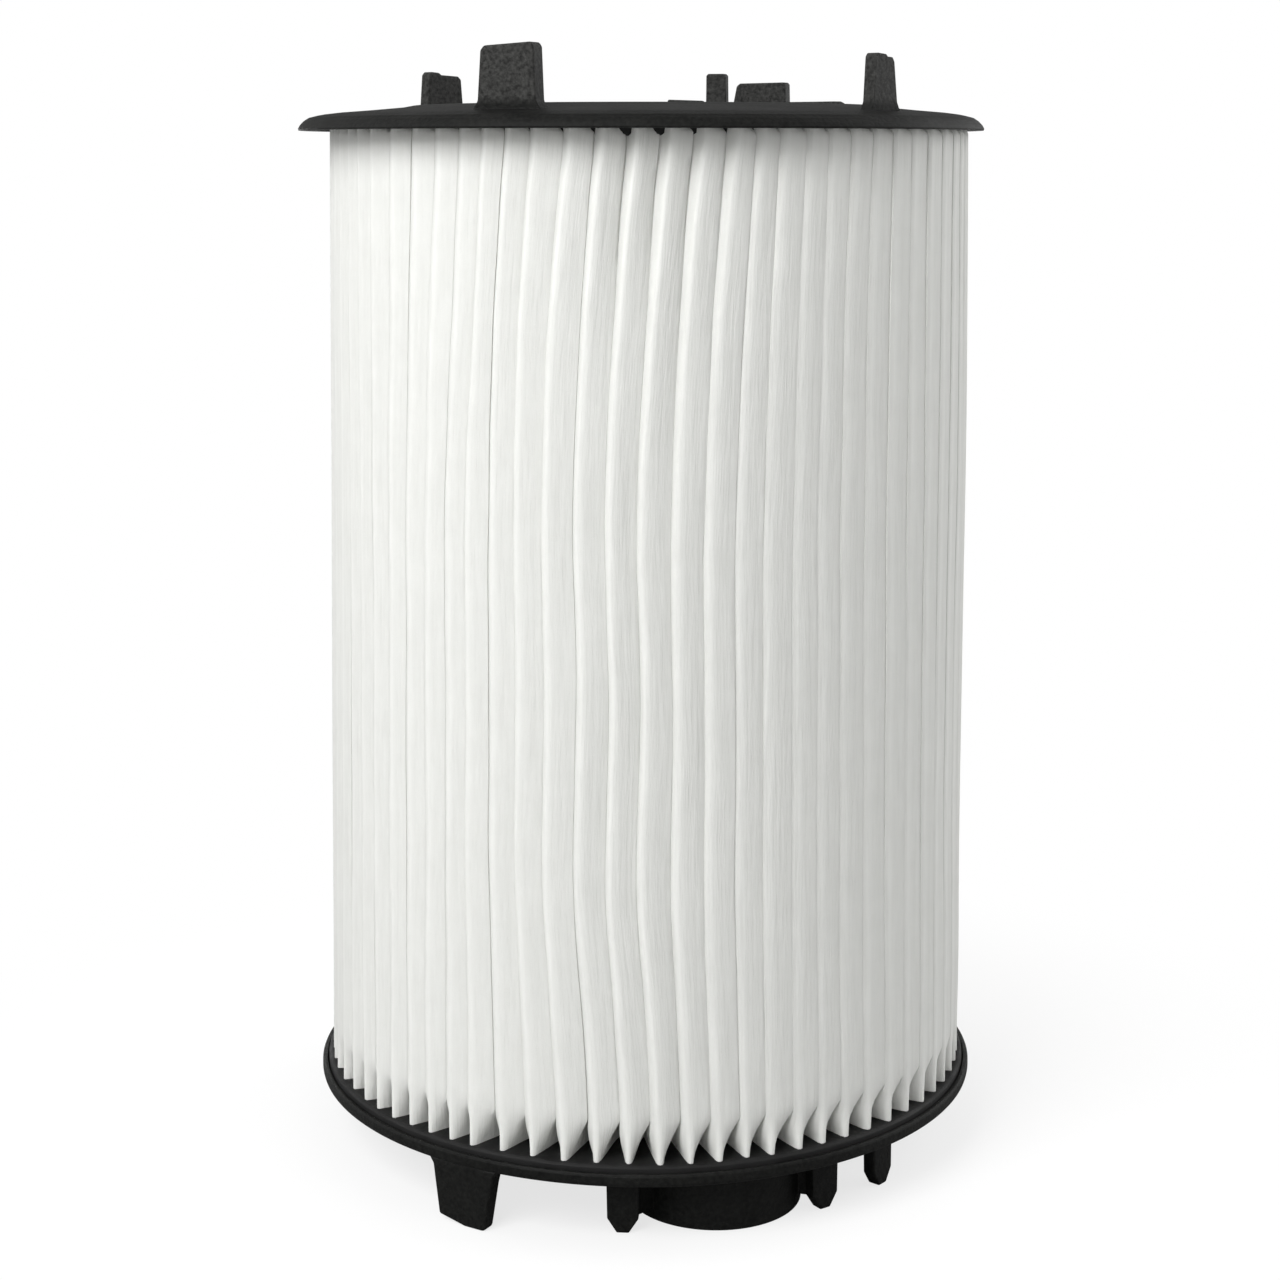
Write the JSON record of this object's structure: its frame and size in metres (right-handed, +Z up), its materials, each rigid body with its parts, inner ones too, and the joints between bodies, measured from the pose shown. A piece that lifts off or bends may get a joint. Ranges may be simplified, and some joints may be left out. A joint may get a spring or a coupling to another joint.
{
  "type": "pleated filter cartridge",
  "caption": "Tall pleated filter cartridge with black moulded end caps, locating tabs on top, feet below and an off-centre round outlet port for a pool or spa filter tank.",
  "frame": {"origin": "on the cartridge axis, in the plane of the feet and of the port's mouth", "axes": "+Z up along the cartridge axis towards the top cap; -Y towards the side the outlet port is nearest to, with the port turned 17.2 degrees from -Y towards +X"},
  "size_m": [0.42, 0.42, 0.6567],
  "materials": {
    "cap_plastic": "moulded black plastic with a fine texture",
    "potting": "cast black potting compound, matt",
    "media_fabric": "white spunbonded polyester, matt with a faint fibre grain",
    "core_plastic": "natural white moulded plastic",
    "bonding_strip": "translucent white hot-melt strip",
    "seal_rubber": "black rubber, satin"
  },
  "bodies": {
    "root": {"bottom_end_cap": "cap_plastic", "top_end_cap": "cap_plastic", "outlet_port_seal": "seal_rubber", "bottom_potting_ring": "potting", "top_potting_ring": "potting", "core_section_lower": "core_plastic", "core_section_lower_middle": "core_plastic", "core_section_upper_middle": "core_plastic", "core_section_upper": "core_plastic", "pleated_media": "media_fabric", "media_seam_strip": "bonding_strip"}
  },
  "joints": []
}
